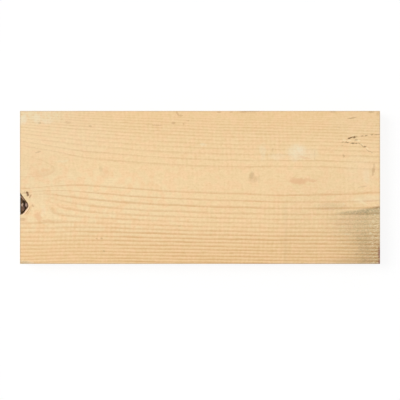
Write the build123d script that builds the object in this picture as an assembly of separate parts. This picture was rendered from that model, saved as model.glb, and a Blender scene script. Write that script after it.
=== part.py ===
"""A short length of planed spruce board, sawn square at both ends, with a dead knot that the left
end cut has opened. All sizes are in millimetres.

The board lies flat on its heart side. X runs along the grain, Y across the board and Z up through its
thickness. The origin is at the middle of the underside.
"""

import os

from build123d import *

# The planed board
LENGTH = 341.0
WIDTH = 145.0
THICKNESS = 21.0
ARRIS_RADIUS = 0.8

# The pith of the log, which the branch grew from. It lies under the board, outside the wood that was kept.
PITH_BELOW_FACE = 35.4
PITH_FROM_EDGE = 92.5
WHORL_BEYOND_END = 2.0

# The knot's outline where the planer cut it, measured from the left end and from the front edge
KNOT_FROM_EDGE = 47.2
KNOT_ACROSS = 19.7
KNOT_REACH = 8.4
KNOT_TIP_ACROSS = 8.1
KNOT_HEEL_REACH = 2.3
KNOT_TIP_RADIUS = 2.5
KNOT_HEEL_RADIUS = 1.0

# The socket where the bark round the dead knot has fallen out, and the knot's own wood left standing in it
SOCKET_DEPTH = 3.2
BARK_GAP = 1.1
STUB_BELOW_FACE = 0.7

LEFT_END = -LENGTH / 2
FRONT_EDGE = -WIDTH / 2


def planed_board():
    """The board's section, drawn on the left end with its four arrises eased, and run along the grain."""
    with BuildPart() as board:
        with BuildSketch(Plane.YZ.offset(LEFT_END)):
            with Locations((0, THICKNESS / 2)):
                RectangleRounded(WIDTH, THICKNESS, ARRIS_RADIUS)
        extrude(amount=LENGTH)
    return board.part


def knot_outline(shrink):
    """The knot as the face cuts it: an almond, blunt at its heel, that runs on past the left end.

    shrink takes the outline in all round, from the bark to the knot's own wood.
    """
    heel = (LEFT_END + KNOT_HEEL_REACH, FRONT_EDGE + KNOT_FROM_EDGE)
    tip = (LEFT_END + KNOT_REACH, heel[1] + KNOT_TIP_ACROSS)
    crown = (LEFT_END, heel[1] + KNOT_ACROSS)
    beyond = KNOT_REACH
    flank_slope = (crown[1] - tip[1]) / KNOT_REACH
    with BuildSketch(Plane.XY.offset(THICKNESS)) as outline:
        with BuildLine():
            flanks = FilletPolyline(
                (LEFT_END - beyond, heel[1]),
                heel,
                tip,
                (LEFT_END - beyond, crown[1] + beyond * flank_slope),
                radius=[KNOT_HEEL_RADIUS, KNOT_TIP_RADIUS],
            )
            Line(flanks @ 1, flanks @ 0)
        make_face()
        if shrink:
            offset(amount=-shrink, mode=Mode.REPLACE)
    return outline.sketch


def branch(shrink=0.0):
    """The branch as a cone that narrows from the knot's outline in the face down to the pith."""
    pith = Vertex(
        LEFT_END - WHORL_BEYOND_END,
        FRONT_EDGE + PITH_FROM_EDGE,
        THICKNESS - PITH_BELOW_FACE,
    )
    return loft([knot_outline(shrink).face(), pith])


def slab(low, high):
    """A slice of the board between two heights, from end to end and edge to edge."""
    return Pos(0, 0, (low + high) / 2) * Box(LENGTH, WIDTH, high - low)


def knotty_board():
    """The board with the knot's socket sunk into its face and the stub of dead wood left in the socket."""
    socket_floor = THICKNESS - SOCKET_DEPTH
    socket = branch() & slab(socket_floor, THICKNESS)
    stub = branch(BARK_GAP) & slab(socket_floor, THICKNESS - STUB_BELOW_FACE)
    return planed_board() - socket + stub


os.makedirs("parts", exist_ok=True)
export_step(knotty_board(), "parts/board.step")
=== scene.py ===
"""Dresses a short length of planed spruce board: its growth rings, its dead knot, and the marks that the
planer, the saw and the weather left on it. Lengths are in millimetres until a mesh or a lamp takes them."""

import math

import bpy
import numpy as np
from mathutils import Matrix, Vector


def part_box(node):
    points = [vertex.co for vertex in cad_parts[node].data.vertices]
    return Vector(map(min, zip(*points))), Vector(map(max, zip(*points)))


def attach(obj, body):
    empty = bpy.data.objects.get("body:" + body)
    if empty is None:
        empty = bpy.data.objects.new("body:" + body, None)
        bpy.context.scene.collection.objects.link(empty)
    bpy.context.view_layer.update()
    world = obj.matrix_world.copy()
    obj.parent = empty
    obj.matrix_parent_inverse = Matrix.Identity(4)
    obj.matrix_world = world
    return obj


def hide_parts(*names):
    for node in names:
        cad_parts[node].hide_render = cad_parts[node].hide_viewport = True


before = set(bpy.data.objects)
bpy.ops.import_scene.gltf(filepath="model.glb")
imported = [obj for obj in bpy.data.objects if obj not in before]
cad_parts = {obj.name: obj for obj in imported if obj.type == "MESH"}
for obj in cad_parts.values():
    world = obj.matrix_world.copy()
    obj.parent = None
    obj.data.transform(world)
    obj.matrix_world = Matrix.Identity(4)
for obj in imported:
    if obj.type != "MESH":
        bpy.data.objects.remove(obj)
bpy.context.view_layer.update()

# The viewpoint is straight above the board, with a long lens, so that only the planed face shows. The
# board's length spans 360.1 of the photograph's 400 pixels, a little above the middle.
low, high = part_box("board")
LENGTH, WIDTH, THICKNESS = (1000 * side for side in high - low)
FRAME_PIXELS = 400
BOARD_PIXELS = 360.1
BOARD_CENTRE_ROW = 187.4
LENS = 100
SENSOR = 36


def into_scene(name, data):
    """A new object, put into the scene."""
    thing = bpy.data.objects.new(name, data)
    bpy.context.scene.collection.objects.link(thing)
    return thing


mm_per_pixel = LENGTH / BOARD_PIXELS
camera_height = THICKNESS + FRAME_PIXELS * mm_per_pixel * LENS / SENSOR
camera_data = bpy.data.cameras.new("overhead camera")
camera_data.lens = LENS
camera_data.sensor_width = SENSOR
camera = into_scene("overhead camera", camera_data)
camera.location = (0, (BOARD_CENTRE_ROW - FRAME_PIXELS / 2) * mm_per_pixel / 1000, camera_height / 1000)
bpy.context.scene.camera = camera
bpy.context.scene.view_settings.view_transform = "Standard"


# The board is one length of flat-sawn spruce, planed on four sides with its arrises eased, and cut square
# at both ends. Every mark on it is cut into one closed mesh: the planer's knife marks, the fibres that it
# tore out near the right end, and the socket where the bark round the dead knot has fallen away.
LEFT_END = -LENGTH / 2
RIGHT_END = LENGTH / 2
FRONT_EDGE = -WIDTH / 2
ARRIS_RADIUS = 0.8
ARRIS_WEAR = 0.2
SAWN_CORNER = 0.12

KNIFE_PITCH = 4.22
KNIFE_PITCH_LEFT = 4.285
KNIFE_START = -1.48
# How far the colour lightens and darkens along the knife strokes: partly burnished wood, partly painted light
# and shade of the scallops
KNIFE_BURNISH_AND_SHADE = 0.012
KNIFE_DEPTH = 0.024
KNIFE_MIDDLE = -4
KNIFE_BOW = 0.069
KNIFE_BOW_CENTRE = -19.5
KNIFE_BOW_ROUND = 15

PITH_BELOW_FACE = 35.4
PITH_FROM_EDGE = 92.5
WHORL_BEYOND_END = 2
KNOT_HEEL = (2.3, 47.2)
KNOT_TIP = (8.4, 55.3)
KNOT_CROWN = (0, 66.6)
KNOT_TIP_RADIUS = 2.5
KNOT_HEEL_RADIUS = 1
KNOT_HALF = 10
KNOT_LEAN = (PITH_FROM_EDGE - KNOT_HEEL[1] - KNOT_HALF) / PITH_BELOW_FACE
SOCKET_DEPTH = 3.2
BARK_RECESS = 0.6
GAP_WIDTH = 0.9
RIM_LOST = 0.48

# The gap between the knot's bark and its wood: places across the board from its front edge, and how far in
# from the left end the gap lies there
GAP_LINE = (
    (47, 0.6), (48.9, 3), (50.4, 4.7), (51.9, 5.2), (54, 4.35), (55.6, 3.7), (57.4, 4), (59, 3.7),
    (60.2, 2.5), (61.3, 1.3), (62.8, 0.2), (65.5, -1.4),
)

# Each torn fibre: its middle along and across the board, its length, width, turn in degrees and depth. The
# hollow is a little longer and wider.
TORN_FIBRES = (
    (142.4, 46.9, 3.9, 1.2, 18, 0.46), (146.2, 47.5, 2, 1.7, 40, 0.40), (148.3, 47.9, 2, 0.9, 5, 0.20),
    (153.7, 48.6, 2.2, 0.9, 8, 0.20), (157.4, 49.1, 2.2, 1, 8, 0.24), (162.9, 49.9, 2, 0.9, 8, 0.22),
    (168, 50.1, 4.6, 0.8, 4, 0.18), (148.1, 44.9, 2.8, 1, 4, 0.19), (135.2, 42.9, 2.6, 0.8, 4, 0.19),
    (139, 42.7, 3.6, 1, -5, 0.24), (144.6, 41.8, 2.6, 1.1, 0, 0.36), (147.4, 41.7, 2.8, 0.9, 2, 0.28),
    (151.5, 41.2, 3.2, 0.7, -30, 0.21), (153.6, 39.5, 2.4, 0.7, -48, 0.16),
    (155.9, 38.6, 2.6, 1.1, 8, 0.28), (158.5, 35.3, 2.8, 0.7, -34, 0.11), (160.6, 34, 2.4, 0.7, -22, 0.12),
    (162.7, 33, 2.2, 0.7, -33, 0.10),
)
TORN_STRETCH = (1.1, 1.3)


def ramp(value, start, end, top=1):
    """Runs smoothly from 0 where value is start to top where it is end: 3 t^2 - 2 t^3. It takes arrays and
    sockets alike, so that relief and colour follow one formula."""
    if isinstance(value, Socket):
        bounds = {"Value": value, "From Min": start, "From Max": end, "To Max": top}
        return value.shader.node("MapRange", bounds, {"interpolation_type": "SMOOTHSTEP", "clamp": False})
    step = np.clip((value - start) / (end - start), 0, 1)
    return top * step * step * (3 - 2 * step)


def greatest(a, b):
    """The greater of two values, arrays or sockets."""
    return a.shader.work("MAXIMUM", a, b) if isinstance(a, Socket) else np.maximum(a, b)


def least(a, b):
    """The lesser of two values, arrays or sockets."""
    return a.shader.work("MINIMUM", a, b) if isinstance(a, Socket) else np.minimum(a, b)


def flank(along, across, start, end):
    """Distance to the right of the line from start to end, in the plane of the face."""
    run, rise = end[0] - start[0], end[1] - start[1]
    reach = math.hypot(run, rise)
    return (along - start[0]) * (rise / reach) - (across - start[1]) * (run / reach)


def rounded_corner(a, b, radius):
    """Where two sides meet, the distance to a corner of that radius: hypot(a + r, b + r) - r outside it."""
    outside_a = greatest(a + radius, 0)
    outside_b = greatest(b + radius, 0)
    return least(greatest(a, b), -radius) + (outside_a * outside_a + outside_b * outside_b) ** 0.5


def knot_distance(along, across):
    """Distance outside the knot's outline in the face, measured from the left end and the front edge: an
    almond of two flanks and a heel, with rounded corners. It is negative inside."""
    lower = flank(along, across, KNOT_HEEL, KNOT_TIP)
    upper = flank(along, across, KNOT_TIP, KNOT_CROWN)
    almond = rounded_corner(lower, upper, KNOT_TIP_RADIUS)
    return rounded_corner(almond, KNOT_HEEL[1] - across, KNOT_HEEL_RADIUS) - RIM_LOST


def gap_line(across):
    """How far in from the left end the gap round the knot's wood lies, at each place across the board."""
    if isinstance(across, Socket):
        return across.shader.curve(least(greatest(across, GAP_LINE[0][0]), GAP_LINE[-1][0]), GAP_LINE)
    return np.interp(across, *zip(*GAP_LINE))


def waves(x, y, length, seed, count=9):
    """A smooth uneven field from -1 to 1: a sum of sine waves of about one length, in random directions."""
    random = np.random.default_rng(seed)
    total = 0
    for _ in range(count):
        turn, phase, stretch = random.uniform(0, 2 * np.pi, 2).tolist() + [random.uniform(0.6, 1.6)]
        total = total + np.sin((x * np.cos(turn) + y * np.sin(turn)) * 2 * np.pi * stretch / length + phase)
    return total / count ** 0.5 / 1.6


def knife_stroke(x, y):
    """Which stroke of the knives cut each point, as a number that runs on between strokes. The board was
    fed a little faster through its left half. The strokes bow by KNIFE_BOW * (hypot(y - centre, r) - r)."""
    from_centre = y - KNIFE_BOW_CENTRE
    bow = ((from_centre * from_centre + KNIFE_BOW_ROUND ** 2) ** 0.5 - KNIFE_BOW_ROUND) * KNIFE_BOW
    fed = greatest(x, 0) / KNIFE_PITCH + least(x, 0) / KNIFE_PITCH_LEFT
    return fed + (bow + KNIFE_START) / KNIFE_PITCH


def knife_marks(x, y):
    """Depth under the crests that the planer's knives leave: a cosine along the board, deepest along its
    middle line."""
    uneven = (0.75 + 0.25 * waves(x, y, 90, 3)) * (0.4 + 0.6 * ramp(abs(y - KNIFE_MIDDLE), 52, 22))
    return KNIFE_DEPTH * uneven * (0.5 - 0.5 * np.cos(2 * np.pi * knife_stroke(x, y)))


def oval(x, y, middle_x, middle_y, length, width, turn):
    """1 in the middle of an oval mark, down to 0 at its rim: (1 - u^2 - v^2)^2 in its own axes."""
    cosine, sine = math.cos(math.radians(turn)), math.sin(math.radians(turn))
    u = ((x - middle_x) * cosine + (y - middle_y) * sine) / (length / 2)
    v = ((y - middle_y) * cosine - (x - middle_x) * sine) / (width / 2)
    return np.clip(1 - u * u - v * v, 0, 1) ** 2


def tear_out(x, y):
    """Depth of the fibres that the knives tore out, with ragged floors."""
    ragged = 1 + 0.35 * waves(x, y, 1.1, 5)
    depth = 0
    for *middle, length, width, turn, deep in TORN_FIBRES:
        hollow = oval(x, y, *middle, TORN_STRETCH[0] * length, TORN_STRETCH[1] * width, turn)
        depth = np.maximum(depth, deep * hollow)
    return depth * ragged


def socket_depth(x, y):
    """Depth of the dead knot's socket: a sunken lip of bark inside the outline, and past the gap that the
    lost bark left, the socket's floor."""
    along, across = x - LEFT_END, y - FRONT_EDGE
    distance = knot_distance(along, across) + 0.22 * waves(x, y, 2.6, 7)
    lip = BARK_RECESS * (1 + 0.5 * waves(x, y, 1.4, 8)) * ramp(distance, 0.1, -0.35)
    past_gap = along - gap_line(across) - GAP_WIDTH / 2 + 0.15 * waves(x, y, 1.9, 9)
    crumbled = (SOCKET_DEPTH - BARK_RECESS) * ramp(past_gap, 0.2, -0.2) * ramp(distance, -0.25, -0.6)
    return lip + crumbled


def face_relief(x, y):
    """How far the planed face lies under the CAD face, and the part of that which is the socket."""
    socket = socket_depth(x, y)
    return knife_marks(x, y) * ramp(socket, 0.2, 0) + tear_out(x, y) + socket, socket


def spaced(places):
    """Evenly spaced lines from place to place, listed with the step from each to the next. The last place is
    left out."""
    return np.concatenate([
        np.linspace(start, end, max(1, round((end - start) / step)), endpoint=False)
        for start, step, end in zip(places[::2], places[1::2], places[2::2])
    ])


def arris_lines(edge, inward):
    """Lines that fan round an arris at 0, 15, 30 and 45 degrees."""
    fan = ARRIS_RADIUS * np.tan(np.radians((0, 15, 30, 45)))
    return edge + inward * (ARRIS_RADIUS - fan)


# Places along and across the face and up its edges, with the steps between lines from each to the next.
# They are close where the knot and the torn fibres are.
ALONG_FACE = (
    LEFT_END + 2 * SAWN_CORNER, 0.32, LEFT_END + 9.6, 0.62, LEFT_END + 14, KNIFE_PITCH / 4, 133, 0.56,
    RIGHT_END - 2 * SAWN_CORNER,
)
ACROSS_FACE = (ARRIS_RADIUS, 2.4, 39.5, 0.5, 71.5, 2.2, 103.5, 0.46, 124.5, 2.4, WIDTH - ARRIS_RADIUS)
UP_EDGE = (ARRIS_RADIUS, 2.4, THICKNESS - ARRIS_RADIUS)
station = np.concatenate((
    [LEFT_END, LEFT_END + SAWN_CORNER],
    spaced(ALONG_FACE),
    [RIGHT_END - 2 * SAWN_CORNER, RIGHT_END - SAWN_CORNER, RIGHT_END],
))
across_face = np.concatenate((arris_lines(0, 1)[:0:-1], spaced(ACROSS_FACE), arris_lines(WIDTH, -1)))
up_edge = np.concatenate((arris_lines(0, 1)[:0:-1], spaced(UP_EDGE), arris_lines(THICKNESS, -1)))

# The underside keeps every third line, so the face leaves out one or two lines that don't fit
spare = (len(across_face) - 1) % 3
across_face = np.delete(across_face, np.arange(8, 8 + spare)) + FRONT_EDGE


def board_grids():
    """Index grids of the board's six sides, which share their rims. The underside has a third of the face's
    lines, so the lowest row of each end is left to joining triangles."""
    columns, rows, levels = len(station), len(across_face), len(up_edge)
    face = np.arange(columns * rows).reshape(columns, rows)
    under_rows = (rows - 1) // 3 + 1
    under = face.size + np.arange(columns * under_rows).reshape(columns, under_rows)
    used = face.size + under.size
    sides = []
    for rim in (0, -1):
        side = np.empty((columns, levels), int)
        side[:, 0], side[:, -1] = under[:, rim], face[:, rim]
        side[:, 1:-1] = used + np.arange(columns * (levels - 2)).reshape(columns, levels - 2)
        used += columns * (levels - 2)
        sides.append(side)
    ends = []
    for rim in (0, -1):
        end = np.empty((rows, levels), int)
        end[1:-1, 1:-1] = used + np.arange((rows - 2) * (levels - 2)).reshape(rows - 2, levels - 2)
        used += (rows - 2) * (levels - 2)
        end[0], end[-1], end[:, -1] = sides[0][rim], sides[1][rim], face[rim]
        ends.append(end)
    return face, under, sides, ends, used


def quads(grid, turned=False):
    """The four corners of each cell of an index grid, counter-clockwise unless turned."""
    corners = [grid[:-1, :-1], grid[1:, :-1], grid[1:, 1:], grid[:-1, 1:]]
    return np.stack(corners[::-1] if turned else corners, -1).reshape(-1, 4)


def end_join(upper, lower, turned=False):
    """Triangles between a row of lines and a row with a third as many."""
    first, second = lower[:-1], lower[1:]
    u = [upper[step::3][:len(first)] for step in range(3)] + [upper[3::3]]
    fans = [(first, second, u[1]), (first, u[1], u[0]), (second, u[2], u[1]), (second, u[3], u[2])]
    triangles = np.concatenate([np.stack(fan, -1) for fan in fans])
    return triangles[:, ::-1] if turned else triangles


def make_mesh(name, points, faces, sharp_angle):
    """A smooth-shaded mesh in metres from points in millimetres, with its sharper edges left crisp."""
    mesh = bpy.data.meshes.new(name)
    mesh.from_pydata(points / 1000, [], [face for group in faces for face in group.tolist()])
    mesh.validate()
    mesh.shade_smooth()
    mesh.set_sharp_from_angle(angle=math.radians(sharp_angle))
    return mesh


def lattice(*lines):
    """A grid of points (x, y, z) from lines of places along each axis."""
    return np.stack(np.meshgrid(*lines, indexing="ij"), -1)


def make_board():
    """The board's closed surface. Each point of the nominal block is pulled round the arrises, as far from
    the block's core as its larger offset, then sunk by the relief of the side that it lies on."""
    face, under, sides, ends, count = board_grids()
    block = np.zeros((count, 3))
    block[face] = lattice(station, across_face, THICKNESS)[:, :, 0]
    block[under] = lattice(station, across_face[::3], 0)[:, :, 0]
    for side, y in zip(sides, (FRONT_EDGE, -FRONT_EDGE)):
        block[side] = lattice(station, y, up_edge)[:, 0]
    for end, x in zip(ends, (LEFT_END, RIGHT_END)):
        block[end[1:-1, 1:-1]] = lattice(x, across_face[1:-1], up_edge[1:-1])[0]
    x, y, z = block.T

    worn = ARRIS_RADIUS * (1 + ARRIS_WEAR * waves(x, np.sign(y) * 40 + np.sign(z - 5) * 9, 21, 11))
    on_end = np.abs(x) > RIGHT_END - SAWN_CORNER / 2
    inset = SAWN_CORNER * on_end
    half_width, half_height = WIDTH / 2 - inset, THICKNESS / 2 - inset
    middle = z - THICKNESS / 2
    core_y = np.clip(y, worn - half_width, half_width - worn)
    core_z = np.clip(middle, worn - half_height, half_height - worn)
    out_y = np.clip(y, -half_width, half_width) - core_y
    out_z = np.clip(middle, -half_height, half_height) - core_z
    reach = np.maximum(np.abs(out_y), np.abs(out_z)) / np.maximum(np.hypot(out_y, out_z), 1e-9)
    placed = np.stack((x, core_y + out_y * reach, core_z + out_z * reach + THICKNESS / 2), -1)

    sunk, socket = face_relief(x, y)
    height = np.clip(z / THICKNESS, 0, 1)
    share = np.where(z == THICKNESS, 1, on_end * height ** 3)
    placed[:, 1] += share * np.maximum(socket - BARK_RECESS, 0) * KNOT_LEAN
    placed[:, 2] -= share * sunk
    placed[:, 2] += np.where(z == 0, knife_marks(x + 1.7, 20 - y), 0)
    planed_edge = np.where(np.abs(y) == WIDTH / 2, 0.6 * knife_marks(x + 0.9, 3 * z), 0)
    placed[:, 1] -= np.sign(y) * planed_edge

    end_faces = [
        quads(ends[0][:, 1:], turned=True),
        end_join(ends[0][:, 1], under[0], turned=True),
        quads(ends[1][:, 1:]),
        end_join(ends[1][:, 1], under[-1]),
    ]
    planed_faces = [quads(face), quads(under, turned=True), quads(sides[0]), quads(sides[1], turned=True)]
    mesh = make_mesh("spruce_board", placed, planed_faces + end_faces, 32)
    counts = [sum(len(group) for group in groups) for groups in (planed_faces, end_faces)]
    mesh.polygons.foreach_set("material_index", np.repeat((0, 1), counts).astype(np.int32))
    return mesh


def operator(operation, swapped=False):
    """A method of Socket that adds one node, with its sides swapped or not."""
    def method(*sides):
        return sides[0].shader.work(operation, *(sides[::-1] if swapped else sides))
    return method


class Socket:
    """A node's output. Python's operators on sockets and numbers add Math nodes, or Vector Math nodes where
    one of them is a colour or a vector."""
    __add__ = __radd__ = operator("ADD")
    __mul__ = __rmul__ = operator("MULTIPLY")
    __sub__ = operator("SUBTRACT")
    __rsub__ = operator("SUBTRACT", swapped=True)
    __truediv__ = operator("DIVIDE")
    __pow__ = operator("POWER")
    __abs__ = operator("ABSOLUTE")

    def __init__(self, shader, output):
        self.shader = shader
        self.output = output


SHADE_RICHER = 0.87


class Shader:
    """The nodes of one material, with the place of each point on the piece in millimetres."""

    def __init__(self, name):
        self.material = bpy.data.materials.new(name)
        self.material.use_nodes = True
        self.tree = self.material.node_tree
        self.tree.nodes.clear()
        place = self.node("TexCoord", {}, output="Object") * 1000
        self.place = place
        self.x, self.y, self.z = (self.node("SeparateXYZ", {0: place}, output=axis) for axis in range(3))

    def node(self, kind, inputs, settings=None, output=0):
        """Adds one node: its settings first, then the value or link of each input. It gives one output."""
        node = self.tree.nodes.new("ShaderNode" + kind)
        for name, value in (settings or {}).items():
            setattr(node, name, value)
        for name, value in inputs.items():
            if isinstance(value, Socket):
                self.tree.links.new(value.output, node.inputs[name])
            else:
                node.inputs[name].default_value = value
        return Socket(self, node.outputs[output]) if node.outputs else None

    def work(self, operation, *sides):
        """One operation on numbers, or on colours or vectors where any side is one."""
        outputs = [side.output.type for side in sides if isinstance(side, Socket)]
        if "VECTOR" in outputs or "RGBA" in outputs:
            spread = [(side,) * 3 if isinstance(side, (int, float)) else side for side in sides]
            return self.node("VectorMath", dict(enumerate(spread)), {"operation": operation})
        return self.node("Math", dict(enumerate(sides)), {"operation": operation})

    def bell(self, value):
        """A bell curve: e to the power of minus the value squared."""
        return self.work("EXPONENT", value * value * -1)

    def stretched(self, along, across):
        """The place with its lengths along the grain and across it scaled, which gives noise a grain."""
        return self.node("CombineXYZ", {0: self.x * along, 1: self.y * across, 2: self.z * across})

    def flat(self, x, y):
        """A place in the face, as mark wants it."""
        return self.node("CombineXYZ", {0: x, 1: y, 2: 1})

    def curve(self, value, points):
        """A smooth curve through points listed as value and result, both in their own units."""
        starts, results = zip(*points)
        first, span = starts[0], starts[-1] - starts[0]
        lowest, rise = min(results), max(results) - min(results)
        bent = self.node("FloatCurve", {"Value": (value - first) / span})
        mapping = bent.output.node.mapping
        line = mapping.curves[0]
        for _ in points[2:]:
            line.points.new(0.5, 0.5)
        for point, (start, result) in zip(line.points, points):
            point.location = (start - first) / span, (result - lowest) / rise
            point.handle_type = "AUTO_CLAMPED"
        mapping.use_clip = False
        mapping.update()
        return bent * rise + lowest

    def blend(self, share, a, b, way="MIX"):
        """Colour a where share is 0 and b where it is 1, or a times b there if the way is MULTIPLY."""
        return self.node("Mix", {0: share, 6: a, 7: b}, {"data_type": "RGBA", "blend_type": way}, output=2)

    def shade(self, plain, level):
        """A colour made lighter and paler, or darker and richer: it stays as it is where the level is 1."""
        richness = 1 + SHADE_RICHER - level * SHADE_RICHER
        return self.node("HueSaturation", {"Saturation": richness, "Value": level, "Color": plain})

    def lay(self, share, *levels):
        """Lays a colour over the wood, in full where share is 1."""
        self.wood = self.blend(share, self.wood, colour(*levels))

    def noise(self, place, scale, detail=2, roughness=0.5):
        """Noise from 0 to 1 at a place, scale times finer than 1 mm."""
        inputs = {"Vector": place, "Scale": scale, "Detail": detail, "Roughness": roughness}
        return self.node("TexNoise", inputs, {"noise_dimensions": "3D"})

    def mark(self, place, middle_x, middle_y, length, width, turn, soft=0.6, strength=1):
        """An oval mark of one strength in its middle, which falls to 0 at its rim over a share of its radius.
        The place is (x, y, 1), so one dot product turns it onto each of the oval's axes."""
        cosine, sine = math.cos(math.radians(turn)), math.sin(math.radians(turn))
        reach = 0
        for turned_x, turned_y, radius in ((cosine, sine, length / 2), (-sine, cosine, width / 2)):
            to_middle = -(middle_x * turned_x + middle_y * turned_y)
            axis = (turned_x / radius, turned_y / radius, to_middle / radius)
            offset = self.node("VectorMath", {0: place, 1: axis}, {"operation": "DOT_PRODUCT"}, "Value")
            reach = self.work("MULTIPLY_ADD", offset, offset, reach)
        return ramp(reach, (1 + soft / 2) ** 2, (1 - soft / 2) ** 2, strength)

    def finish(self, roughness, height, relief, specular):
        """Ends a wood in one Principled BSDF, whose bump is height times relief, in millimetres."""
        bump = self.node("Bump", {"Height": height, "Distance": relief / 1000, "Strength": 1})
        inputs = {"Base Color": self.wood, "Roughness": roughness, "Normal": bump}
        surface = self.node("BsdfPrincipled", {**inputs, "Specular IOR Level": specular})
        self.node("OutputMaterial", {"Surface": surface})
        return self.material


def colour(red, green, blue):
    """A colour written as a screen shows it, from 0 to 255, made linear."""
    shares = [value / 255 for value in (red, green, blue)]
    linear = [share / 12.92 if share <= 0.04045 else ((share + 0.055) / 1.055) ** 2.4 for share in shares]
    return (*linear, 1)


# The pith runs under the board: its place across the board and its depth under the face at points along it.
# Its swing towards the left end fades in rings that lie far from it.
PITH_ACROSS = (
    (-170.5, 21.4), (-151, 18.5), (-132, 16.6), (-85, 13), (-37, 9.5), (-14, 8.4), (10, 7.4), (34, 7),
    (81, 6.4), (171, 6.3),
)
PITH_DEPTH = (
    (-170.5, 35), (-155, 35.6), (-132, 36.9), (-108, 38), (-61, 38.4), (34, 38.35), (81, 38), (128, 38.3),
    (171, 38.9),
)
PITH_STEADY = 7
PITH_SWING_REACH = 62
PITH_SHOULDER = 20

# The tree grew unevenly: its rings draw in above the pith, spread below it and bow far from it
DRAW_IN_ABOVE = ((-170, 0), (-100, -0.04), (38, 0), (171, 0.056))
SPREAD_BELOW = 0.00018
SPREAD_START = 38
RING_BOW = 0.00187
BOW_START = 39

# Growth rings from the innermost that the underside reaches: each year's width, how much of it is latewood,
# and how dark that is on the two sides of the pith. The outer years are fainter towards the left end, and
# the stained ones darker at the right end.
INNER_RADIUS = 13.9
INNER_AGE = -8
RING_WIDTHS = (
    4.1, 4, 4, 3.5, 3.2, 2.7, 1.15, 3.9, 2.45, 3, 3.1, 2.85, 2.7, 2.65, 2.6, 2.45, 2.65, 2.35, 2.5, 2.2,
    2.05, 2.1, 2.1, 1.8, 1.9, 2, 1.9, 1.8, 1.9, 1.8,
)
LATEWOOD_SHARE = (
    (-8, 0.2), (-2, 0.09), (-1, 0.1), (0, 0.16), (1, 0.24), (2, 0.31), (5, 0.37), (9, 0.44), (23, 0.44),
)
DARKNESS_BELOW = (
    (-8, 0.5), (-2, 0.08), (-1, 0.18), (0, 0.4), (1, 0.37), (2, 0.46), (3, 0.37), (4, 0.34), (6, 0.36),
    (7, 0.46), (9, 0.6), (11, 0.62), (12, 0.62), (13, 0.62), (14, 0.64), (15, 0.7), (23, 0.6),
)
DARKNESS_ABOVE = (
    (-8, 0.5), (-2, 0.08), (-1, 0.2), (0, 0.3), (1, 0.33), (2, 0.31), (3, 0.27), (5, 0.28), (6, 0.34),
    (7, 0.34), (9, 0.32), (11, 0.27), (12, 0.2), (14, 0.12), (23, 0.12),
)
FAINT_LEFT = (-60, -125)
FAINT_YEARS = (6, 8)
FAINT_SHARE = 0.35
STRONG_RIGHT = (155, 167)
SAWN_LATEWOOD = 0.3
SAWN_CONTRAST = 1.6

# The sweep of the rings up the branch's flank: how far it lifts them at the left end, and where. The wood
# beside the knot has no clear rings.
KNOT_PULL = 44
PULL_LIMIT = 23
PULL_LENGTH = 21
PULL_CENTRE = -18
PULL_RISE = 0.08
PULL_WIDTH = 6
PULL_SPREAD = 0.24
PULL_LOPSIDED = 1.1
CLEAR_WOOD = ((-168, -18.5, 46, 20.5, 0, 0.7), (-143, -12, 32, 9, -12, 1, 0.6))

EARLYWOOD = colour(244, 212, 163)
LATEWOOD_LOWER = colour(214, 166, 112)
LATEWOOD_UPPER = colour(212, 172, 118)
LATEWOOD_INNER = colour(222, 158, 104)
WARM_WOOD = colour(238, 199, 145)
PINK_WOOD = colour(244, 203, 156)
PALE_WOOD = colour(245, 219, 174)
STAINED = colour(143, 158, 157)

# How far each kind of grain varies the wood's shade
FIBRE_SHADE = 0.115
SAWN_FIBRE_SHADE = 0.15
STREAK_SHADE = 0.095
MOTTLE_SHADE = 0.175
BLOTCH_SHADE = 0.07

# Marks in the face: each one's middle, length, width, turn and strength
PALE_FUZZ = (
    (59.5, 33.5, 5, 13, 0, 0.4), (73, 29.5, 13, 5, 0, 0.35), (92.3, 33, 16, 12.5, 0, 0.75),
    (95, 36, 7, 6, 0, 0.9), (105, 31.5, 12, 9, 0, 0.35), (-167.4, 64.3, 7, 7, 0, 0.85),
    (-154.5, 64.8, 5.5, 7, 0, 0.6), (-145, 62.6, 8, 4.5, 0, 0.5), (2.8, 40.3, 5, 2.4, 0, 0.5),
    (157.5, 10.5, 6.5, 14, 5, 0.4), (-148, -22.5, 4, 8, 0, 0.4), (-129.6, 25, 10, 2, 4, 0.4),
    (-165, -71.6, 13, 2.8, 0, 0.6), (152, 62, 46, 20, 0, 0.13), (151, 16, 26, 26, 0, 0.17),
    (158, -11, 24, 6, 3, 0.3),
)
PINK_PATCHES = (
    (92.6, 6.1, 13.5, 4.4, 0, 1), (99.5, 6.7, 8, 2.8, 8, 0.65), (106.4, 6.4, 6, 2.2, 4, 0.75),
    (-152.7, -28.4, 4.6, 6.4, 12, 0.75), (-154.1, -25.2, 1.6, 1.6, 0, 0.8), (98.5, 28.4, 9, 2.2, -4, 0.6),
    (-150, 13.5, 17, 5, 8, 0.35), (-90, 13.8, 6, 8, 0, 0.3), (-166.5, -32, 5, 6, 0, 0.35),
    (-145, -31.5, 9, 1.6, -4, 0.5),
)
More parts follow.
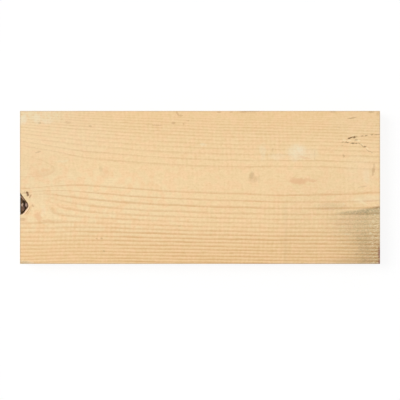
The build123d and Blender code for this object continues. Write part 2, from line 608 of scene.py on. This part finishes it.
GREY_SMUDGES = (
    (48.9, 10.8, 3.8, 6.4, -8, 0.6), (50.5, 7.8, 8, 5.4, 0, 0.33), (55.7, 8.1, 1.3, 7, 0, 0.2),
    (-94, 17.6, 3, 5, 8, 0.25), (-153.2, 33.5, 5, 1.3, 14, 0.5), (-125.3, 61.5, 4.6, 2.4, 0, 0.32),
    (-152, 61, 2.8, 1.8, -10, 0.5), (-104.1, 58.1, 2.6, 1.6, -10, 0.55), (46, 71.6, 18, 1, 0, 0.5),
    (-97.8, -48.6, 1.5, 1.1, 0, 0.6), (-93.2, -48.4, 2, 1.2, -25, 0.7), (-91, -60.4, 1.9, 1.2, -30, 0.7),
    (-19.5, -36.6, 2.6, 1, 0, 0.3), (-14.2, -62.1, 1.4, 1, 0, 0.4), (108.6, 30, 0.9, 8.5, 0, 0.22),
    (136.1, 29.7, 1.6, 2.4, 20, 0.7), (134.6, 39.7, 2.4, 1.1, 0, 0.35), (131.4, 57, 2.4, 1, 0, 0.35),
    (143.9, 65.7, 7, 0.9, 11, 1), (162, 71.4, 5, 1.6, 0, 0.7), (168.4, 70.2, 2.4, 4, 0, 0.35),
    (-166, -70.9, 9, 1.8, 0, 0.6), (126, 71.5, 5, 1.4, 0, 0.5), (153.9, 0.7, 7, 1.2, 8, 0.4),
    (168, -19, 7, 2.2, 8, 0.4), (150, -69.8, 60, 5, 0, 0.28),
)
BROWN_MARKS = (
    (164.2, 16.3, 2.5, 5.4, -8, 0.6), (163.6, 12.8, 1.8, 3.4, -4, 0.5), (164.8, 20.6, 1.7, 3.4, -4, 0.45),
    (-166, -5, 2.2, 1.5, -20, 0.55), (-160.7, -8.4, 3, 1.3, 60, 0.95), (-158.3, -17.4, 1.4, 2.6, 40, 0.6),
    (-168.2, -30.3, 5, 2.4, 0, 0.5), (-41, 58.8, 8.5, 1.1, -3, 0.55), (-49, 59.4, 6, 0.9, -3, 0.3),
    (-25.2, 60.9, 3, 2, 0, 0.7), (-15.5, 60, 1.4, 2.2, 0, 0.45), (-11.5, 63.2, 2.6, 1, 0, 0.4),
    (-21.2, 69.8, 1.4, 4.4, 28, 0.6), (-18.4, 68.1, 3.6, 1.6, 0, 0.5), (68.9, 35.6, 1.3, 3.2, 0, 0.3),
    (18, 71.2, 3.4, 1.5, 0, 0.55), (29.5, 71.2, 2.6, 1.2, 0, 0.4), (41, 71.4, 6, 1.2, 0, 0.35),
)
BARK_TINTS = (
    (0.2, 63.2, 2.4, 7.5, 0, 0.8, 0.9, colour(56, 38, 24)),
    (2.5, 61.5, 4.9, 1.25, -53, 0.9, 0.9, colour(168, 130, 100)),
    (6, 55.2, 1.9, 2.9, 0, 1.1, 0.9, colour(176, 146, 132)),
)
BARK_SPECKS = ((-163.7, -5, 2.1, 2, 0, 0.95), (-163.1, -6.9, 2.2, 2.6, 0, 0.85))
# Pale flecks: painted highlights where lifted fibres catch the light
FIBRE_HIGHLIGHTS = (
    (136.8, 44.8, 3, 1.2, 0, 0.7), (141.6, 44.4, 3.2, 1.2, 0, 0.7), (149.8, 44.4, 3.6, 1.3, 0, 0.8),
    (153.6, 40.8, 2.4, 1.3, -40, 0.6), (145, 49.2, 4, 1, 12, 0.6), (158.6, 37, 3, 1.2, -30, 0.5),
    (165.5, -25.6, 2.2, 1.2, 0, 0.8), (150, -12, 7, 2.6, 0, 0.4), (155.2, -14.8, 8, 1.4, -29, 0.5),
    (136.1, -15.6, 2.2, 1.5, 0, 0.5), (139.5, -44.3, 6, 1.1, 0, 0.5), (161.4, -43.4, 2.4, 1.8, 0, 0.8),
    (161.4, -36, 2.6, 1.6, 0, 0.6),
)

# Washes over the face: between which places each fades in, along the board and across it
BLEACHED_LEFT = (-112, -152)
BLEACHED_BACK = (58, 68)
FADED_LEFT = (-60, -120)
FADED_BACK = (20, 40)
GREYED_LEFT = (-92, -158)
GREYED_FRONT = (-20, -6)
GREYED_BACK = (40, 24)

# Blue stain: its upper border, the ring that its darker wedge stops at, where its casts thicken, and its soft
# patches. The saw splashed a strip along the end, and a fainter band crosses the face.
STAIN_BORDER = (
    (112, -24.9), (123, -24.4), (130.7, -23.5), (138.3, -22.3), (145.8, -21.8), (153.4, -20.4),
    (160.5, -19.3), (166.7, -18.3), (171, -17.8),
)
STAIN_WEDGE_FOOT = -25.9
STAIN_THICKENS = (118, 168)
WEDGE_THICKENS = (118, 147)
CORNER_STAIN_LEFT = (147, 153)
CORNER_STAIN_BACK = (-42, -49)
STAIN_PATCHES = (
    (125, -18.4, 23, 7, 0, 1.4, 0.12), (154.5, -48, 8, 62, 0, 1.4, 0.04), (114, -34, 62, 78, 0, 1.4, 0.04),
)
SAWING_SPLASH = (167.5, -48, 13, 60, 0, 0.8)
SPLASH_DARKENS = (-50, -66)
STOP_BAND = 81
SAW_CENTRE = (-30, 210)


class Spruce(Shader):
    """Spruce as a solid: the same rings run through the face, the edges and the ends. The steps run in turn,
    and each lays its colours over the wood. sawn is True for the end grain, which the saw left rough and
    dark, with its rings plain to see."""

    def __init__(self, name, sawn):
        super().__init__(name)
        self.sawn = sawn
        self.find_branch()
        self.find_rings()
        self.tone()
        self.find_face()
        if not sawn:
            self.mark_face()
        self.stain()
        self.darken_rims()
        self.set_knot()
        if sawn:
            self.leave_sawn()
        else:
            self.leave_planed()

    def find_branch(self):
        """The branch is a cone from the pith, so its features are looked up where the line from the pith
        through each point meets the face. climb is the share of that line up to the point."""
        pith_x, pith_y = LEFT_END - WHORL_BEYOND_END, FRONT_EDGE + PITH_FROM_EDGE
        pith_z = THICKNESS - PITH_BELOW_FACE
        self.climb = (self.z - pith_z) / PITH_BELOW_FACE
        self.along = (self.x - pith_x) / self.climb + (pith_x - LEFT_END)
        self.across = (self.y - pith_y) / self.climb + (pith_y - FRONT_EDGE)
        ragged = self.noise(self.place, 0.55) - 0.5
        self.distance = (knot_distance(self.along, self.across) + ragged * 0.6) * self.climb

    def find_rings(self):
        """The radius from the pith, the year that it falls in, and how near that year's end it is. The rings
        are swept up beside the branch, by a pull that falls away along the board and to both sides."""
        x, y, z = self.x, self.y, self.z
        grain = self.stretched(0.012, 0.05)
        wander = (self.noise(grain, 1) - 0.5) * 1.6 + (self.noise(grain, 5) - 0.5)
        inward = x - LEFT_END
        pull = least(self.work("EXPONENT", inward / -PULL_LENGTH) * KNOT_PULL, PULL_LIMIT)
        aside = (y - PULL_CENTRE - inward * PULL_RISE) / (inward * PULL_SPREAD + PULL_WIDTH)
        aside = greatest(aside, aside * -PULL_LOPSIDED)
        seen_y = y - pull * least(self.climb, 1) * self.bell(aside) + wander
        swing = self.curve(x, PITH_ACROSS)
        offset = seen_y - swing
        swung = (swing - PITH_STEADY) * self.bell(offset / PITH_SWING_REACH)
        from_pith = seen_y - (PITH_STEADY + swung)
        drawn_in = self.curve(x, DRAW_IN_ABOVE) * ramp(offset, 0, PITH_SHOULDER)
        spread = greatest(x - SPREAD_START, 0) * ramp(offset, 0, -PITH_SHOULDER) * SPREAD_BELOW
        from_pith = from_pith * (1 + drawn_in - spread)
        pith_depth = self.curve(x, PITH_DEPTH)
        above_pith = z - THICKNESS + pith_depth
        radius = (from_pith * from_pith + above_pith * above_pith) ** 0.5
        self.radius = radius + greatest(radius - BOW_START, 0) * from_pith * RING_BOW
        self.onto_face = pith_depth / above_pith

        # Latewood darkens slowly from earlywood and stops sharply at the year's end
        radii = INNER_RADIUS + np.cumsum((0, *RING_WIDTHS))
        ages = INNER_AGE + np.arange(len(radii))
        age = self.curve(self.radius, [(float(at), float(years)) for at, years in zip(radii, ages)])
        year = self.work("ROUND", age)
        listed_year = least(greatest(year, LATEWOOD_SHARE[0][0]), LATEWOOD_SHARE[-1][0])
        share = greatest(self.curve(listed_year, LATEWOOD_SHARE), SAWN_LATEWOOD if self.sawn else 0)
        phase = (age - year) / share
        self.late = ramp(phase, -1.1, 0) * ramp(phase, 0.65, 0.1)
        lower_side = ramp(from_pith, PITH_SHOULDER / 2, -PITH_SHOULDER / 2)
        below, above = self.curve(listed_year, DARKNESS_BELOW), self.curve(listed_year, DARKNESS_ABOVE)
        below = below * (1 - ramp(x, *FAINT_LEFT) * ramp(listed_year, *FAINT_YEARS) * FAINT_SHARE)
        uneven = self.noise(self.node("CombineXYZ", {0: x * 0.03, 1: year * 7.3, 2: lower_side * 3}), 1)
        strength = (above + (below - above) * lower_side) * (0.2 + uneven * 1.6)
        stained = ramp(x, *STRONG_RIGHT) * ramp(listed_year, 1, 2) * lower_side
        in_back_edge = ramp(z, THICKNESS - 0.6, THICKNESS - 8) * (1 - lower_side)
        strength = strength * (1 + stained * 0.8) * (1 + in_back_edge * 1.2)
        face_place = self.flat(x, y)
        for clear in CLEAR_WOOD:
            strength = strength * (1 - self.mark(face_place, *clear))
        self.strength = strength
        self.lower_side, self.listed_year, self.uneven = lower_side, listed_year, uneven

    def tone(self):
        """Earlywood and latewood: paler over the heart, warmer towards the sapwood, in soft blotches, with
        streaks along the fibres, bands along the knife strokes that are partly burnished wood and partly
        painted light and shade of their scallops, and a few dark resin streaks."""
        x, y, sawn, lower_side = self.x, self.y, self.sawn, self.lower_side
        warm = ramp(self.radius, 50, 92)
        patches = self.noise(self.stretched(0.012, 0.035), 1)
        wood = self.blend(warm * 0.8 + (patches - 0.5) * 0.5, EARLYWOOD, WARM_WOOD)
        blotches = self.noise(self.place, 0.13, detail=1)
        wood = self.blend(ramp(blotches, 0.4, 0.65) * 0.45, wood, PINK_WOOD)
        pale_left = ramp(x, 30, -90) * lower_side * ramp(self.radius, 72, 55)
        wood = self.blend(ramp(blotches, 0.65, 0.4) * (0.1 + pale_left * 0.6), wood, PALE_WOOD)
        latewood = self.blend(lower_side, LATEWOOD_UPPER, LATEWOOD_LOWER)
        red_right = 0.2 + ramp(x, -60, 60) * lower_side * 0.4
        reddish = ramp(self.listed_year, 2.6, 0.4) * ramp(self.uneven, 0.35, 0.65) * red_right
        latewood = self.blend(reddish, latewood, LATEWOOD_INNER)
        wood = self.blend(self.late * self.strength * (SAWN_CONTRAST if sawn else 1), wood, latewood)
        fibres = self.noise(self.stretched(0.05, 2.2), 1, detail=4, roughness=0.65)
        streaks = self.noise(self.stretched(0.14, 0.8), 1)
        mottle = self.noise(self.place, 0.6, detail=3)
        grained = (fibres - 0.5) * (SAWN_FIBRE_SHADE if sawn else FIBRE_SHADE)
        for grain, shade in ((streaks, STREAK_SHADE), (mottle, MOTTLE_SHADE), (blotches, BLOTCH_SHADE)):
            grained = grained + (grain - 0.5) * shade
        if not sawn:
            # Bands along the knife strokes: partly burnished wood, partly painted light and shade of the
            # scallops
            burnish_and_shade = self.work("SINE", knife_stroke(x, y) * (-2 * math.pi))
            grained = grained + burnish_and_shade * ramp(patches, 0.35, 0.65) * KNIFE_BURNISH_AND_SHADE
        self.wood = self.shade(wood, grained + 1)
        resin = ramp(self.noise(self.stretched(0.35, 3.4), 1, detail=0), 0.76, 0.83) * self.late
        self.lay(resin * 0.25, 168, 120, 72)
        self.fibres, self.mottle, self.blotches = fibres, mottle, blotches

    def frayed(self, scale, reach):
        """The place of each point on the face, moved about so that marks looked up there have frayed rims."""
        turned = self.node("CombineXYZ", {0: self.y, 1: self.z, 2: self.x})
        move_x = (self.noise(self.place, scale) - 0.5) * reach
        move_y = (self.noise(turned, scale) - 0.5) * reach
        return self.flat(self.x + move_x, self.y + move_y)

    def find_face(self):
        """How near each point is to the planed face, and its places there for soft and for crisp marks."""
        self.on_face = ramp(self.z, THICKNESS - 1.6, THICKNESS - 0.9)
        self.soft_place, self.crisp_place = self.frayed(0.22, 5), self.frayed(0.9, 1.6)

    def marks(self, place, listed, soft):
        """The strongest of the listed marks at each point."""
        total = 0
        for *oval_sizes, strength in listed:
            total = greatest(self.mark(place, *oval_sizes, soft, strength), total)
        return total * self.on_face

    def mark_face(self):
        """Marks that only the planed face has, from the faint and broad to the dark and small, with painted
        highlights on lifted fibres and painted shadows in the torn fibres.
        """
        x, y, soft_place, crisp_place, mottle = self.x, self.y, self.soft_place, self.crisp_place, self.mottle
        self.lay(self.marks(soft_place, PALE_FUZZ, 1.2) * ramp(mottle, -0.1, 0.7) * 0.75, 243, 231, 200)
        bleached = ramp(y, *BLEACHED_BACK) * ramp(x + (self.blotches - 0.5) * 40, *BLEACHED_LEFT)
        self.lay(bleached * self.on_face * ramp(mottle, 0.3, 0.6) * 0.5, 235, 222, 184)
        self.lay(ramp(x, *FADED_LEFT) * ramp(y, *FADED_BACK) * self.on_face * 0.1, 232, 220, 196)
        greyed = ramp(x, *GREYED_LEFT) * ramp(y, *GREYED_FRONT) * ramp(y, *GREYED_BACK)
        self.lay(greyed * self.on_face * 0.1, 206, 182, 150)
        shadows = [
            (*place, TORN_STRETCH[0] * length, width, turn, min(1, 2.2 * deep))
            for *place, length, width, turn, deep in TORN_FIBRES
        ]
        for place, listed, soft, share, levels in (
            (soft_place, PINK_PATCHES, 1.5, 0.75, (232, 184, 138)),
            (crisp_place, GREY_SMUDGES, 1.2, 0.6, (172, 138, 94)),
            (crisp_place, BROWN_MARKS, 1.2, 0.6, (176, 128, 86)),
            (crisp_place, FIBRE_HIGHLIGHTS, 1.2, 1, (252, 230, 186)),
            (crisp_place, BARK_SPECKS, 1, 1, (122, 82, 46)),
            (crisp_place, shadows, 1.2, 0.3 + mottle * 1.4, (122, 90, 50)),
        ):
            self.lay(self.marks(place, listed, soft) * share, *levels)

    def stain(self):
        """Blue stain has crept in from the right end, below the rings over the heart: a thin cast, darker in
        a wedge between two rings and in the front corner. It narrows towards the pith, tints the wood and
        leaves its rings plain. The saw has splashed and furred a strip along that end."""
        x, y = self.x, self.y
        smear = self.noise(self.stretched(0.4, 1.2), 1, detail=3, roughness=0.65)
        cloud = self.noise(self.place, 0.14)
        specks = self.noise(self.place, 0.9, roughness=0.7)
        border = self.curve(greatest(x, STAIN_BORDER[0][0]), STAIN_BORDER)
        stain_y = (y - PITH_STEADY) * self.onto_face + PITH_STEADY
        in_stain = ramp(stain_y - border + (smear - 0.5) * 3, 1.1, -1.5)
        drift = x + (cloud - 0.5) * 16 + ramp(y, -54, -42) * 8
        self.thin_cast = in_stain * ramp(drift, *STAIN_THICKENS)
        foot = ramp(stain_y, STAIN_WEDGE_FOOT - 0.7, STAIN_WEDGE_FOOT + 0.7)
        wedge = in_stain * foot * ramp(x, *WEDGE_THICKENS)
        corner_cast = ramp(y + (cloud - 0.5) * 12, *CORNER_STAIN_BACK) * ramp(drift, *CORNER_STAIN_LEFT)
        stain = self.thin_cast * 0.285 + wedge * 0.22 + corner_cast * 0.085
        for patch in STAIN_PATCHES:
            stain = stain + self.mark(self.soft_place, *patch)
        stain = stain * (1 + (smear - 0.5) * 2.4 + (specks - 0.5) * 2)
        self.wood = self.blend(stain, self.wood, STAINED, "MULTIPLY")
        furred = self.mark(self.crisp_place, *SAWING_SPLASH) * self.on_face
        self.lay(furred * ramp(smear, 0.52, 0.64) * 0.7, 244, 226, 184)
        splashed = furred * (0.42 + ramp(y, *SPLASH_DARKENS) * 0.22)
        self.lay(splashed * ramp(smear, 0.47, 0.34), 142, 118, 76)
        stop_band = ramp(abs(x - STOP_BAND), 3.2, 0.5) * ramp(y, -8, -20)
        self.lay(stop_band * 0.06, 150, 128, 88)

    def darken_rims(self):
        """Painted shade darkens the arrises, where they turn away from the light, and the face is darker
        right beside both ends.
        """
        rim = (WIDTH + THICKNESS) / 2
        arris_shade = ramp(abs(self.y) + abs(self.z - THICKNESS / 2), rim - ARRIS_RADIUS, rim - 0.45)
        # Painted shade along the arrises, uneven with the mottle
        self.lay(arris_shade * (0.2 + self.mottle * 0.5), 158, 140, 118)
        if not self.sawn:
            self.lay(ramp(abs(self.x), RIGHT_END - 1.4, RIGHT_END - 0.6) * 0.35, 176, 152, 116)

    def set_knot(self):
        """The live wood of the branch, the board's tight rings beside it, its bark, and painted shade: near
        black in the gap round the knot's wood, and darker with depth in the socket."""
        across, distance, climb, on_face = self.across, self.distance, self.climb, self.on_face
        branch_rings = self.noise(self.node("CombineXYZ", {0: distance * 3.2, 1: 0, 2: 0}), 1)
        branch = self.blend(branch_rings, colour(150, 98, 58), colour(196, 146, 96))
        self.wood = self.blend(ramp(distance, 0.2, -0.5) * 0.9, self.wood, branch)
        squeezed = ramp(across, KNOT_TIP[1] + 0.5, KNOT_TIP[1] - 2.5)
        squeezed = squeezed * ramp(across, KNOT_HEEL[1] - 2, KNOT_HEEL[1] + 1) * on_face
        self.lay(ramp(distance, 1.4, 0.6) * squeezed * 0.7, 252, 214, 182)
        tight_rings = ramp(abs(distance - 1.9), 0.7, 0.1) * 0.75 + ramp(abs(distance - 3.3), 0.6, 0.1) * 0.4
        self.lay(tight_rings * squeezed, 202, 154, 100)
        dead = ramp(climb, 0.72, 0.88)
        bark = self.noise(self.place, 1.3, detail=3)
        bark = self.blend(bark, colour(66, 44, 22), colour(112, 82, 48))
        knot_place = self.flat(self.along, across)
        for *oval_sizes, tint in BARK_TINTS:
            bark = self.blend(self.mark(knot_place, *oval_sizes), bark, tint)
        lip = ramp(self.z, THICKNESS - 0.15, THICKNESS - 0.4) * ramp(distance, 1.3, 0.9)
        self.wood = self.blend(greatest(ramp(distance, 0.25, -0.15), lip) * dead, self.wood, bark)
        # Painted shade: the gap round the knot's wood is painted near black, most of all towards the front
        # edge
        from_gap = abs(self.along - gap_line(across)) * (1 - ramp(across, 56, 52.5) * 0.35)
        painted_gap_shade = ramp(from_gap, 0.8, 0.3) * ramp(distance, 0.1, -0.2) * dead
        self.lay(painted_gap_shade * (0.5 + ramp(across, 60, 55.5) * 0.5), 34, 14, 8)
        # Painted shade: the socket's walls darken with depth
        self.painted_socket_shade = ramp(self.z, THICKNESS - 0.75, THICKNESS - 1.9) * ramp(distance, 0.6, 0.2)
        self.painted_socket_shade = self.painted_socket_shade * ramp(climb, 0.88, 0.9)
        self.lay(self.painted_socket_shade, 34, 22, 12)

    def leave_sawn(self):
        """The saw's teeth leave bowed scratches in the ends, round a centre far above them, and a swipe of
        maroon end paint marks the right end's front corner."""
        x, y, z = self.x, self.y, self.z
        off_y, off_z = y - SAW_CENTRE[0], z - SAW_CENTRE[1]
        sweep = (off_y * off_y + off_z * off_z) ** 0.5
        scratch = self.noise(self.node("CombineXYZ", {0: sweep * 1.4, 1: x, 2: y * 0.02}), 1, detail=3)
        self.wood = self.shade(self.wood, 0.86 + (scratch - 0.5) * 0.24)
        paint = ramp(y + (self.mottle - 0.5) * 10, -50, -54) * ramp(x, 0, 1)
        paint = paint * ramp(scratch, 0.30, 0.42)
        self.lay(paint * 0.85, 118, 52, 56)
        self.finish(0.82 - paint * 0.2, scratch + self.fibres * 0.4, 0.12, 0.25)

    def leave_planed(self):
        """The end paint laps a little over the face, which is smooth, most of all its latewood."""
        lap = ramp(self.x, RIGHT_END - 3, RIGHT_END - 0.8) * ramp(self.y, -50, -62)
        self.lay(lap * ramp(self.mottle, 0.3, 0.55) * 0.7, 128, 66, 62)
        roughness = 0.66 - self.late * 0.1 + self.thin_cast * 0.1 + self.painted_socket_shade * 0.2
        self.finish(roughness, self.fibres * 0.7, 0.045, 0.3)


board = into_scene("spruce_board", make_board())
board.data.materials.append(Spruce("planed spruce", sawn=False).material)
board.data.materials.append(Spruce("sawn spruce end grain", sawn=True).material)
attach(board, "root")
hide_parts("board")


# The dead knot is what is left of the branch after its bark crumbled: a stub of weathered wood, cracked and
# sawn through at the left end, that stands in the socket and leans towards the pith like the branch did.
STUB_RECESS = 0.7
STUB_SEAT = 0.4
STUB_LINES = 90
STUB_FROM_HEEL = 0.9
STUB_FROM_CROWN = 3.6
STUB_FROM_SAW = 0.04
STUB_CENTRE = (-1, 57)
STUB_RING = 1.05
CRACK_DEPTH = 1.6
STUB_MAUVE = (3, 53.2, 3, 5.4, 0, 0.9, 0.6)
STUB_WORN = (2.15, 56, 1.9, 2.2, 0, 1)

# Each crack's start, end and width, measured from the left end and the front edge
STUB_CRACKS = (
    (0.2, 60.5, 4.6, 57.2, 0.5), (0.6, 54.5, 3.6, 51.8, 0.4), (0.3, 57.6, 3.4, 54.4, 0.35),
    (2.5, 57.4, 5.2, 54.2, 0.3),
)


def stub_top(along, across):
    """Depth of the stub's broken top under the face: a rough plane with its growth rings standing proud and
    drying cracks that open towards its rim."""
    from_centre = np.hypot(along - STUB_CENTRE[0], across - STUB_CENTRE[1])
    wander = 0.8 * waves(along, across, 4, 21)
    rings = 0.10 * np.cos(2 * np.pi * from_centre / STUB_RING + wander)
    rough = 0.16 * waves(along, across, 2.3, 22) + 0.06 * waves(along, across, 0.7, 23)
    cracks = 0
    for start_x, start_y, end_x, end_y, width in STUB_CRACKS:
        run, rise = end_x - start_x, end_y - start_y
        out_x, out_y = along - start_x, across - start_y
        share = np.clip((out_x * run + out_y * rise) / (run * run + rise * rise), 0, 1)
        bend = 0.18 * np.sin(share * 7)
        gap = np.hypot(out_x - share * run - bend, out_y - share * rise)
        cracks = np.maximum(cracks, CRACK_DEPTH * ramp(gap, width * (0.3 + 0.7 * share), 0))
    return STUB_RECESS + rings + rough + cracks


def closed_slab(name, top, bottom, sharp_angle):
    """A closed mesh from two grids of points of one size, joined round their rims."""
    rows, columns = top.shape[:2]
    upper = np.arange(rows * columns).reshape(rows, columns)
    lower = upper + upper.size
    faces = [quads(upper), quads(lower, turned=True)]
    for rim_top, rim_bottom, turned in (
        (upper[0], lower[0], False), (upper[-1], lower[-1], True),
        (upper[:, 0], lower[:, 0], True), (upper[:, -1], lower[:, -1], False),
    ):
        faces.append(quads(np.stack((rim_top, rim_bottom)), turned=turned))
    points = np.concatenate((top.reshape(-1, 3), bottom.reshape(-1, 3)))
    return make_mesh(name, points, faces, sharp_angle)


def make_stub():
    """The stub over a grid of rows across it, each running in from the sawn end up to the gap, where its rim
    has crumbled. Points lower down move towards the pith by the branch's lean."""
    bottom_edge = KNOT_HEEL[1] + STUB_FROM_HEEL
    top_edge = KNOT_CROWN[1] - STUB_FROM_CROWN
    rows, shares = np.linspace(bottom_edge, top_edge, STUB_LINES), np.linspace(0, 1, STUB_LINES // 2)
    across, share = np.meshgrid(rows, shares, indexing="ij")
    reach = gap_line(across) - GAP_WIDTH / 2 + 0.15 * waves(across, 0 * across, 1.7, 24)
    reach = np.maximum(reach, 0.15)
    along = STUB_FROM_SAW + share * (reach - STUB_FROM_SAW)
    rim = np.minimum(reach - along, 1.2 * np.minimum(across - bottom_edge, top_edge - across))
    top_depth = stub_top(along, across) + ramp(rim, 0.9, -0.1)

    def place(depth):
        leant = FRONT_EDGE + across + (depth - STUB_RECESS) * KNOT_LEAN
        return np.stack((LEFT_END + along, leant, THICKNESS - depth), -1)

    foot = place(np.full_like(top_depth, SOCKET_DEPTH + STUB_SEAT))
    return closed_slab("dead_knot", place(top_depth), foot, 40)


def weathered_wood():
    """Dead branch wood: grey-brown, darker between its tight rings and towards its heel and the sawn end,
    with painted shade deep in its cracks, a mauve patch and a pale worn spot."""
    shader = Shader("weathered knot wood")
    depth = THICKNESS - shader.z
    along = shader.x - LEFT_END
    across = shader.y - FRONT_EDGE - (depth - STUB_RECESS) * KNOT_LEAN
    wander = (shader.noise(shader.place, 0.5) - 0.5) * 1.2
    off_x, off_y = along - STUB_CENTRE[0], across - STUB_CENTRE[1]
    from_centre = (off_x * off_x + off_y * off_y) ** 0.5
    rings = shader.work("COSINE", (from_centre + wander) * (2 * math.pi / STUB_RING))
    grit = shader.noise(shader.place, 2.4, detail=5, roughness=0.7)
    shader.wood = shader.blend(rings * 0.2 + grit * 0.9 - 0.05, colour(74, 53, 34), colour(142, 112, 84))
    face_place = shader.flat(along, across)
    shader.lay(shader.mark(face_place, *STUB_MAUVE), 138, 104, 90)
    pale = shader.mark(face_place, *STUB_WORN)
    shader.lay(pale * 0.9, 224, 194, 170)
    shader.lay(greatest(ramp(across, 50.8, 48.6) * 0.8, ramp(along, 1.4, 0.6) * 0.9), 76, 57, 34)
    # Painted shade: the cracks darken with depth
    shader.lay(ramp(depth, 1.25, 2.1), 30, 20, 12)
    return shader.finish(0.9 - pale * 0.1, rings * 0.3 + grit, 0.12, 0.2)


knot = into_scene("dead_knot", make_stub())
knot.data.materials.append(weathered_wood())
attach(knot, "root")


# The bench that the board lies on: plain, white and wide. The camera and reflections see most of it as a
# glow of its own, and the rest as paint, which takes the board's soft shadow.
FLOOR_SPAN = 8
FLOOR_DROP = 0.0003
SHADOW_SHARE = 0.14


def floor_finish():
    """A white surface that is part glow and part paint where the camera or a reflection sees it."""
    shader = Shader("white bench")
    rays = ("Is Camera Ray", "Is Glossy Ray", "Is Transmission Ray")
    camera_ray, glossy_ray, clear_ray = (shader.node("LightPath", {}, output=ray) for ray in rays)
    seen = greatest(greatest(camera_ray, glossy_ray), clear_ray)
    paint = shader.node("BsdfDiffuse", {"Color": colour(250, 250, 250)})
    glow = shader.node("Emission", {"Color": (1, 1, 1, 1), "Strength": 1.02})
    surface = shader.node("MixShader", {0: seen * (1 - SHADOW_SHARE), 1: paint, 2: glow})
    shader.node("OutputMaterial", {"Surface": surface})
    return shader.material


floor_mesh = bpy.data.meshes.new("bench")
half = FLOOR_SPAN / 2
corners = [(x, y, -FLOOR_DROP) for x, y in ((-half, -half), (half, -half), (half, half), (-half, half))]
floor_mesh.from_pydata(corners, [], [(0, 1, 2, 3)])
floor = into_scene("bench", floor_mesh)
floor.data.materials.append(floor_finish())


# The light is an even white surround with one wide soft lamp high on the left, which grazes the face
# enough to show the knife marks. Together they give the face a level of one, so colours render as written.
SURROUND = 0.6
LAMP_SHARE = 0.4
LAMP_SPAN = 3.2
LAMP_PLACE = (-4, 1.5, 5.6)

world = bpy.data.worlds.new("white surround")
world.use_nodes = True
bpy.context.scene.world = world
nodes, links = world.node_tree.nodes, world.node_tree.links
background = nodes["Background"]
light_path = nodes.new("ShaderNodeLightPath")
level = nodes.new("ShaderNodeMapRange")
links.new(light_path.outputs["Is Camera Ray"], level.inputs["Value"])
level.inputs["To Min"].default_value = SURROUND
links.new(level.outputs["Result"], background.inputs["Strength"])
background.inputs["Color"].default_value = (1, 1, 1, 1)

lamp_distance = math.hypot(*LAMP_PLACE)
lamp_data = bpy.data.lights.new("wide lamp", "AREA")
lamp_data.shape = "SQUARE"
lamp_data.size = LAMP_SPAN
lamp_data.energy = LAMP_SHARE * math.pi ** 2 * lamp_distance ** 3 / LAMP_PLACE[2]
lamp = into_scene("wide lamp", lamp_data)
lamp.location = LAMP_PLACE
lamp.rotation_euler = (-lamp.location).to_track_quat("-Z", "Y").to_euler()
